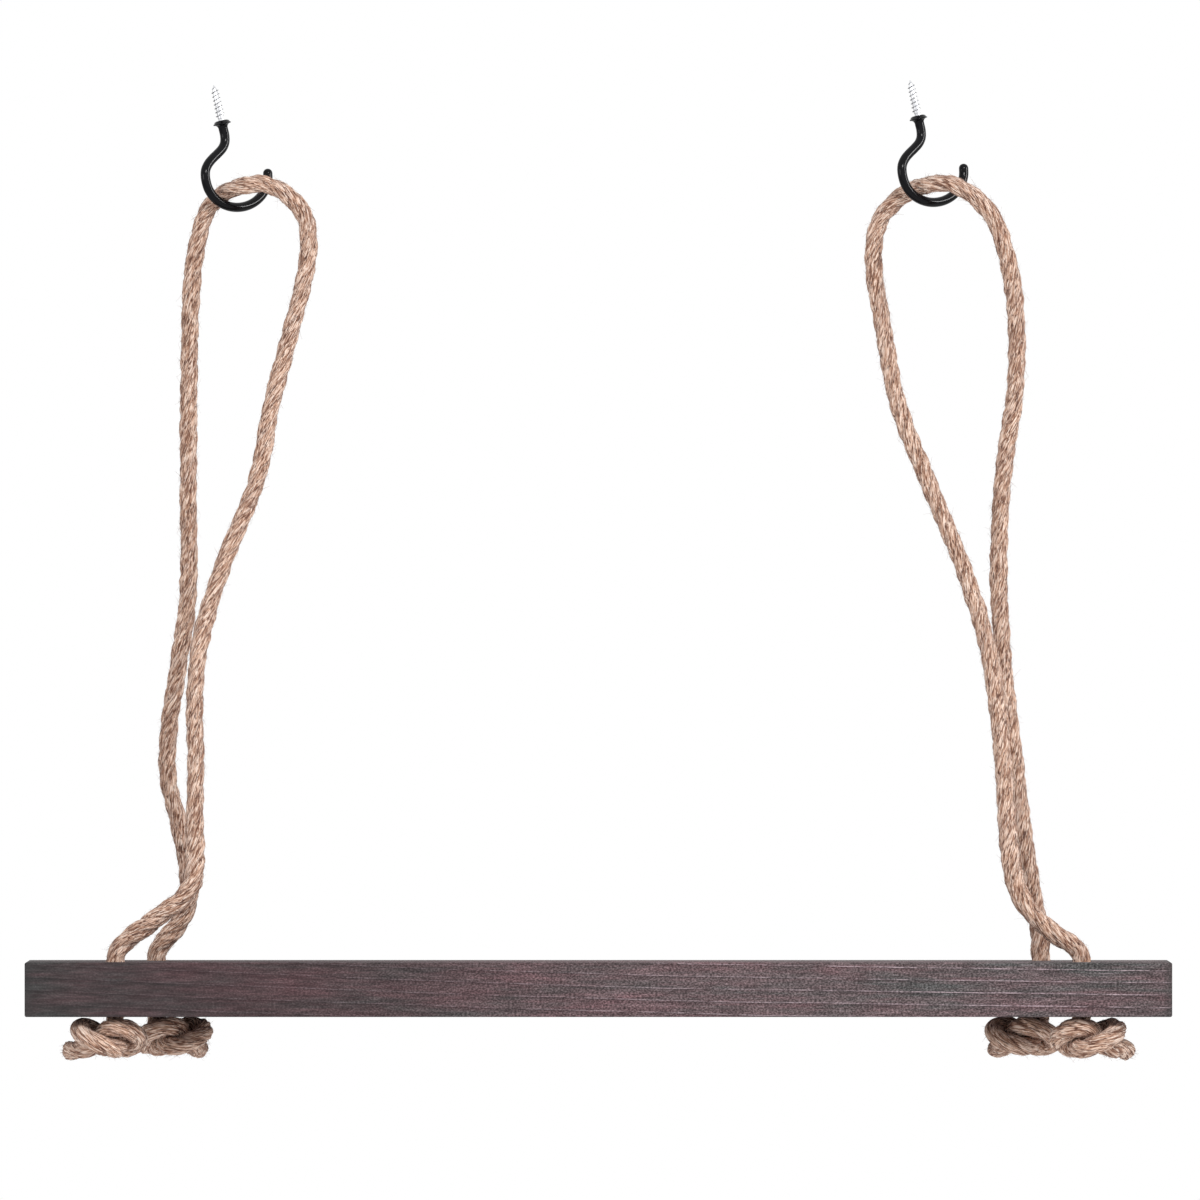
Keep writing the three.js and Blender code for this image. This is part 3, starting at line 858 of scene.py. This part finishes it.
class SHELF_OT_cup_hooks(bpy.types.Operator):
    """Models one cup hook and sets a copy of it at each end of the shelf"""

    bl_idname = "shelf.cup_hooks"
    bl_label = "Cup Hooks"

    def execute(self, context):
        hooks = context.scene.shelf_hooks
        route = smooth_route(hook_line(), steps=4)
        route[:, 2] -= hooks.collar_height
        vinyl = black_vinyl(hooks)
        zinc = bright_zinc(hooks)
        models = (
            (steel_hook(hooks, route), "screw", "hook_steel", "zinc_steel", zinc),
            (vinyl_coat(hooks, route), "coat", "hook_coat", "black_coat", vinyl),
            (flanged_collar(hooks), "collar", "hook_collar", "black_coat", vinyl),
        )
        for model, name, cad_node, slot, finish in models:
            give_finish(model, finish)
            spare = copy_of(model, f"{name}_right")
            for side, piece in (("left", named_piece(model, f"{name}_left")), ("right", spare)):
                set_in_place(piece, hook_place(side))
                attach(piece, "hooks")
                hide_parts(f"{cad_node}_{side}")
        return {"FINISHED"}


# Rope


def crown_depth(across):
    """A loop turns across its hook's bow: its left side goes back, its right side forward."""
    return CROWN_DEPTH * across / math.hypot(across, CROWN_DEPTH)


def limb_route(places, seat_x, hole_depth):
    """A limb of a sling leans evenly in depth, from the loop down to the hole that it ends in."""
    side = max((place for place in places if place[1] < -CROWN_DROP), key=lambda place: place[1])
    side_depth = crown_depth(seat_x - side[0])
    route = []
    for x, z in places:
        fall = (side[1] - z) / (side[1] - BOARD_TOP)
        depth = side_depth + (hole_depth - side_depth) * fall
        route.append(Vector((x, crown_depth(seat_x - x) if fall < 0 else depth, z)))
    return route


def ring_point(turn):
    """A point of the ring that a knot's rope winds round."""
    reach = KNOT_RING_RADIUS + KNOT_TURN_RADIUS * math.cos(3 * turn)
    height = KNOT_TURN_RADIUS * math.sin(3 * turn)
    return Vector((reach * math.cos(2 * turn), reach * math.sin(2 * turn), height))


def ring_direction(turn):
    step = 0.001
    return (ring_point(turn + step) - ring_point(turn - step)).normalized()


def knot_route(side, hole_x, hole_depth, heading, diameter):
    """A stopper knot: out of the hole, a bend, the knot's turns and a short tail.

    The front knots are laid the other way round, with their turns before the rope they hang on.
    """
    first = math.pi / 6
    last = 11 * math.pi / 6
    entry = ring_point(first)
    onward = ring_direction(first)
    axis = entry - onward * KNOT_BEND_RADIUS
    top = entry.z + KNOT_BEND_RADIUS
    route = [Vector((axis.x, axis.y, top + lead)) for lead in (diameter, diameter / 2)]
    for i in range(KNOT_BEND_POINTS):
        bend = math.pi * i / (2 * KNOT_BEND_POINTS)
        place = axis + onward * KNOT_BEND_RADIUS * (1 - math.cos(bend))
        place.z = entry.z + KNOT_BEND_RADIUS * (1 - math.sin(bend))
        route.append(place)
    for i in range(KNOT_POINTS + 1):
        route.append(ring_point(first + (last - first) * i / KNOT_POINTS))
    leaving = ring_direction(last)
    for share in (0.5, 1):
        place = ring_point(last) + leaving * KNOT_TAIL_LENGTH * share
        place.z -= KNOT_TAIL_DROP * share * share
        route.append(place)
    turn = Matrix.Rotation(math.radians(heading), 3, "Z")
    lay = math.copysign(1, hole_depth)
    for i, place in enumerate(route):
        local = turn @ (place - Vector((axis.x, axis.y, top)))
        across = side * (hole_x - local.x)
        route[i] = Vector((across, hole_depth + lay * local.y, BOARD_UNDERSIDE + local.z))
    return route


def sling_route(name, diameter, coat_radius, collar_height):
    """One rope from the tail of its front knot, over its hook, to the tail of its back knot."""
    side, rise, fall = SLINGS[name]
    seat = bow_seat(name, collar_height)
    seat.y = 0
    seat.z += coat_radius + diameter / 2 + SEAT_CLEARANCE
    front_knot = knot_route(side, FRONT_HOLE_X, -HOLE_Y, FRONT_KNOT_HEADING, diameter)
    back_knot = knot_route(side, BACK_HOLE_X, HOLE_Y, BACK_KNOT_HEADING, diameter)
    front_run = [Vector((side * FRONT_HOLE_X, -HOLE_Y, z)) for z in (BOARD_MIDDLE.z, BOARD_TOP)]
    back_run = [Vector((side * BACK_HOLE_X, HOLE_Y, z)) for z in (BOARD_TOP, BOARD_MIDDLE.z)]
    front_limb = limb_route(rise, seat.x, -HOLE_Y)
    back_limb = limb_route(fall, seat.x, HOLE_Y)
    return [*reversed(front_knot), *front_run, *front_limb, seat, *back_limb, *back_run, *back_knot]


def carried_frames(route):
    """At each point, the way ahead and two directions across that turn as little as they can."""
    ahead = np.gradient(route, axis=0)
    ahead /= np.linalg.norm(ahead, axis=1, keepdims=True)
    first = np.cross(ahead[0], (0, 0, 1.0))
    if np.linalg.norm(first) < 0.1:
        first = np.cross(ahead[0], (0, 1.0, 0))
    across = np.empty_like(route)
    held = first / np.linalg.norm(first)
    for i, way in enumerate(ahead):
        held = held - way * np.dot(held, way)
        held /= np.linalg.norm(held)
        across[i] = held
    return ahead, across, np.cross(ahead, across)


def eased(share):
    return share * share * (3 - 2 * share)


def slow_drift(rng, along, wavelength, amount):
    """A value that wanders smoothly round 0 along a rope."""
    knots = np.arange(0, along[-1] + 2 * wavelength, wavelength)
    values = rng.uniform(-amount, amount, len(knots))
    place = along / wavelength
    low = np.floor(place).astype(int)
    share = eased(place - low)
    return values[low] * (1 - share) + values[low + 1] * share


def strand_lobe(across):
    """How far a strand's outside stands from the rope's middle, as a share of the rope's radius."""
    offset = 0.23
    angle = (across - 0.5) * 2 * math.pi / 3
    return offset * np.cos(angle) + np.sqrt((1 - offset) ** 2 - (offset * np.sin(angle)) ** 2)


def rope_radii(route, rope):
    """The rope's radius along it: the lay opens from a little above the board down to the knots."""
    above_open = route[:, 2] - BOARD_TOP - OPEN_LAY_HEIGHT
    share = eased(np.clip(above_open / CLOSING_LENGTH, 0, 1))
    return (rope.slack_diameter + (rope.diameter - rope.slack_diameter) * share) / 2


def laid_rope(name, route, rope, rng):
    """Three strands laid together: the mesh's columns run along the strands."""
    along = distances_along(route)
    ahead, right, up = carried_frames(route)
    count = 3 * STRAND_CORNERS
    corner = np.arange(count)
    lobes = strand_lobe((corner % STRAND_CORNERS) / STRAND_CORNERS)
    turn = 2 * math.pi * along / rope.lay_length + slow_drift(rng, along, *LAY_DRIFT)
    thickness = 1 - THICKNESS_DRIFT[1] + slow_drift(rng, along, *THICKNESS_DRIFT)
    radius = rope_radii(route, rope) * thickness
    strands = [slow_drift(rng, along, *STRAND_DRIFT) for _ in range(3)]

    # Bundles of fibres lie along the strands and stand up here and there
    bundles = np.stack([slow_drift(rng, along, *BUNDLE_DRIFT) for _ in range(count)], axis=1)
    bundles += 0.5 * np.roll(bundles, 1, axis=1)
    rough = rng.uniform(-SURFACE_ROUGHNESS, SURFACE_ROUGHNESS, (len(route), count))
    points = []
    for i, middle in enumerate(route):
        angles = turn[i] + 2 * math.pi * corner / count
        fatness = np.array([strands[k // STRAND_CORNERS][i] for k in corner])
        reach = radius[i] * lobes * (1 + fatness + bundles[i] + rough[i])
        if i in (0, len(route) - 1):
            reach = reach * CUT_END_WIDTH
        out = np.outer(reach * np.cos(angles), right[i]) + np.outer(reach * np.sin(angles), up[i])
        points.append(middle + out)
    piece = mesh_piece(name, np.vstack(points).tolist(), tube_faces(0, len(route), count))

    # Each corner keeps its place across the strands, within its own one, and along the rope
    layer = piece.data.uv_layers.new(name="lay")
    wide = corner / STRAND_CORNERS
    next_wide = (corner + 1) / STRAND_CORNERS - 1e-5
    walls = np.empty((len(route) - 1, count, 4, 2))
    walls[..., 0] = np.stack([wide, next_wide, next_wide, wide], axis=1)
    walls[:, :, :2, 1] = along[:-1, None, None]
    walls[:, :, 2:, 1] = along[1:, None, None]
    ends = np.stack([np.tile(wide, 2) + 0.3, np.zeros(2 * count)], axis=1)
    layer.data.foreach_set("uv", np.concatenate((walls, ends), axis=None))
    for face in piece.data.polygons:
        face.use_smooth = len(face.vertices) == 4
    return piece


def loose_hairs(name, route, rope, rng):
    """Hairs that stand off the rope, most of them nearly along it, and a tuft at each end."""
    ahead, right, up = carried_frames(route)
    radii = rope_radii(route, rope)
    roots = rng.integers(2, len(route) - 2, rope.hairs + 2 * TUFT_HAIRS)
    roots[:TUFT_HAIRS] = 1
    roots[TUFT_HAIRS : 2 * TUFT_HAIRS] = len(route) - 2
    points = []
    faces = []
    for number, i in enumerate(roots):
        angle = rng.uniform(0, 2 * math.pi)
        outward = right[i] * math.cos(angle) + up[i] * math.sin(angle)
        sideways = np.cross(ahead[i], outward)
        if number < 2 * TUFT_HAIRS:
            way = -ahead[i] if number < TUFT_HAIRS else ahead[i]
            base = route[i] + outward * radii[i] * rng.uniform(*TUFT_ROOT)
            lift = rng.uniform(*TUFT_LIFT)
            direction = way + outward * lift + sideways * rng.uniform(*TUFT_SLANT)
            length = rng.uniform(*TUFT_LENGTH)
        else:
            way = ahead[i] * rng.choice((-1, 1))
            base = route[i] + outward * radii[i] * HAIR_ROOT
            lift = rng.uniform(*(FLAT_LIFT if rng.random() < FLAT_SHARE else STEEP_LIFT))
            direction = way + outward * lift + sideways * rng.uniform(*HAIR_SLANT)
            length = rng.uniform(*HAIR_LENGTH)
        direction = direction / np.linalg.norm(direction)
        curl = rng.normal(0, HAIR_CURL, 3)
        radius = rng.uniform(*HAIR_RADIUS)
        side_a = np.cross(direction, outward)
        side_a = side_a / (np.linalg.norm(side_a) + 1e-9)
        side_b = np.cross(direction, side_a)
        faces += tube_faces(len(points), HAIR_SEGMENTS + 1, 3)
        for k in range(HAIR_SEGMENTS + 1):
            share = k / HAIR_SEGMENTS
            middle = base + (direction + curl * share) * length * share
            width = radius * (1 - HAIR_TAPER * share)
            for c in range(3):
                turn = 2 * math.pi * c / 3
                points.append(middle + width * (side_a * math.cos(turn) + side_b * math.sin(turn)))
    piece = mesh_piece(name, [tuple(p) for p in points], faces)
    for face in piece.data.polygons:
        face.use_smooth = True
    return piece


class SHELF_OT_rope_slings(bpy.types.Operator):
    """Lays both rope slings over their hooks and knots them under the board"""

    bl_idname = "shelf.rope_slings"
    bl_label = "Rope Slings"

    def execute(self, context):
        rope = context.scene.shelf_rope
        hooks = context.scene.shelf_hooks
        coat_radius = hooks.wire_radius + TOUCH_GAP + hooks.coat_wall
        jute = laid_jute(rope)
        fibre = loose_fibre(rope)
        for name, (side, _, _) in SLINGS.items():
            rng = np.random.default_rng(ROPE_SEEDS[name])
            places = sling_route(name, rope.diameter, coat_radius, hooks.collar_height)
            route = evenly_spaced(smooth_route(places, steps=30), RING_SPACING)
            print(f"{name} sling: {distances_along(route)[-1]:.4f} m of rope")
            sling = laid_rope(f"sling_{name}", route, rope, rng)
            hairs = loose_hairs(f"hairs_{name}", route, rope, rng)
            for piece, finish in ((sling, jute), (hairs, fibre)):
                turn_faces_out(piece)
                give_finish(piece, finish)
                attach(piece, "shelf")
            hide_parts(f"rope_{name}", f"knot_{name}_front", f"knot_{name}_back")
        return {"FINISHED"}


# Board


class SHELF_OT_board(bpy.types.Operator):
    """Cuts the board to size, drills its four holes and eases its edges"""

    bl_idname = "shelf.board"
    bl_label = "Board"

    def execute(self, context):
        settings = context.scene.shelf_board
        lay_tools_down()
        bpy.ops.mesh.primitive_cube_add(size=1, location=BOARD_MIDDLE, scale=BOARD_SIZE)
        board = named_piece(bpy.context.object, "board")
        take_up(board)
        bpy.ops.object.transform_apply(location=True, rotation=True, scale=True)
        for side in (-1, 1):
            for x, y in ((side * FRONT_HOLE_X, -HOLE_Y), (side * BACK_HOLE_X, HOLE_Y)):
                lay_tools_down()
                bpy.ops.mesh.primitive_cylinder_add(
                    vertices=48,
                    radius=settings.hole_radius,
                    depth=2 * BOARD_SIZE.z,
                    location=(x, y, BOARD_MIDDLE.z),
                )
                drill = bpy.context.object
                finish_with(board, "BOOLEAN", operation="DIFFERENCE", solver="EXACT", object=drill)
                bpy.data.objects.remove(drill)
        finish_with(
            board,
            "BEVEL",
            width=settings.edge_radius,
            segments=4,
            limit_method="ANGLE",
            angle_limit=math.radians(50),
        )
        turn_faces_out(board)
        smooth_by_angle(board, 30)
        give_finish(board, stained_softwood(settings))
        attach(board, "shelf")
        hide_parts("shelf_board")
        return {"FINISHED"}


# Camera and stage


class SHELF_OT_camera(bpy.types.Operator):
    """Sets a long lens level in front of the shelf"""

    bl_idname = "shelf.camera"
    bl_label = "Camera"

    def execute(self, context):
        lay_tools_down()
        place = VIEW_MIDDLE - Vector((0, VIEW_DISTANCE, 0))
        bpy.ops.object.camera_add(location=place, rotation=(math.pi / 2, 0, 0))
        camera = context.object
        camera.data.sensor_width = SENSOR_WIDTH
        camera.data.lens = SENSOR_WIDTH * VIEW_DISTANCE / VIEW_WIDTH
        camera.data.clip_end = 10 * VIEW_DISTANCE
        context.scene.camera = camera
        return {"FINISHED"}


def soft_lamp(name, place, width, height, power):
    """An oblong lamp that faces the middle of the shelf."""
    lay_tools_down()
    bpy.ops.object.light_add(type="AREA", location=place)
    lamp = named_piece(bpy.context.object, name)
    lamp.data.shape = "RECTANGLE"
    lamp.data.size = width
    lamp.data.size_y = height
    lamp.data.energy = power
    lamp.rotation_euler = (VIEW_MIDDLE - Vector(place)).to_track_quat("-Z", "Y").to_euler()


def white_room(strength):
    """Even light from all round, seen and reflected as plain white."""
    world = bpy.data.worlds.new("white_room")
    world.use_nodes = True
    tree = world.node_tree
    tree.nodes.clear()
    rays = node(tree, "LightPath").outputs
    seen = calc(tree, "MAXIMUM", rays["Is Camera Ray"], rays["Is Glossy Ray"])
    seen = calc(tree, "MAXIMUM", seen, rays["Is Transmission Ray"])
    light = node(tree, "Background", {"Color": (1, 1, 1, 1), "Strength": strength})
    white = node(tree, "Background", {"Color": (1, 1, 1, 1), "Strength": 1.0})
    shown = {0: seen, 1: light.outputs[0], 2: white.outputs[0]}
    both = node(tree, "MixShader", shown).outputs[0]
    node(tree, "OutputWorld", {"Surface": both})
    bpy.context.scene.world = world


def pale_floor(stage):
    material, tree, shader = new_finish("pale_floor", Roughness=0.8, Specular_IOR_Level=0.2)
    mottle = ramp(tree, noise(tree, object_place(tree), 3, 3), (0.3, 0.985), (0.7, 1.0))
    feed(tree, shader, Base_Color=tinted(tree, stage.floor_colour, mottle))
    return material


class SHELF_OT_stage(bpy.types.Operator):
    """Lays a pale floor far below, in a white room with soft lamps"""

    bl_idname = "shelf.stage"
    bl_label = "Stage"

    def execute(self, context):
        stage = context.scene.shelf_stage
        lay_tools_down()
        bpy.ops.mesh.primitive_plane_add(size=stage.floor_width, location=(0, 0, -stage.floor_drop))
        floor = named_piece(context.object, "floor")
        give_finish(floor, pale_floor(stage))
        for name, place, width, height, power in LAMPS:
            soft_lamp(name, place, width, height, getattr(stage, power))
        white_room(stage.room_light)
        context.scene.view_settings.view_transform = "Standard"
        return {"FINISHED"}


# Panel and registration


class SHELF_PT_panel(bpy.types.Panel):
    """Lists the operators that build the shelf, and their settings"""

    bl_idname = "SHELF_PT_panel"
    bl_label = "Rope Shelf"
    bl_space_type = "VIEW_3D"
    bl_region_type = "UI"
    bl_category = "Rope Shelf"

    def draw(self, context):
        scene = context.scene
        for operator, settings in PANEL_ROWS:
            box = self.layout.box()
            box.operator(operator.bl_idname)
            if settings is None:
                continue
            group = getattr(scene, settings)
            for name in group.__annotations__:
                box.prop(group, name)


PANEL_ROWS = (
    (SHELF_OT_camera, None),
    (SHELF_OT_rope_slings, "shelf_rope"),
    (SHELF_OT_cup_hooks, "shelf_hooks"),
    (SHELF_OT_board, "shelf_board"),
    (SHELF_OT_stage, "shelf_stage"),
)
SETTINGS = {
    "shelf_board": BoardSettings,
    "shelf_rope": RopeSettings,
    "shelf_hooks": HookSettings,
    "shelf_stage": StageSettings,
}
CLASSES = (
    *SETTINGS.values(),
    *(operator for operator, _ in PANEL_ROWS),
    SHELF_PT_panel,
)


def register():
    for made_class in CLASSES:
        bpy.utils.register_class(made_class)
    for name, group in SETTINGS.items():
        setattr(bpy.types.Scene, name, PointerProperty(type=group))


def unregister():
    for name in SETTINGS:
        delattr(bpy.types.Scene, name)
    for made_class in reversed(CLASSES):
        bpy.utils.unregister_class(made_class)


def main():
    register()
    bpy.ops.shelf.camera()
    bpy.ops.shelf.rope_slings()
    bpy.ops.shelf.cup_hooks()
    bpy.ops.shelf.board()
    bpy.ops.shelf.stage()
    lay_tools_down()


if __name__ == "__main__":
    main()
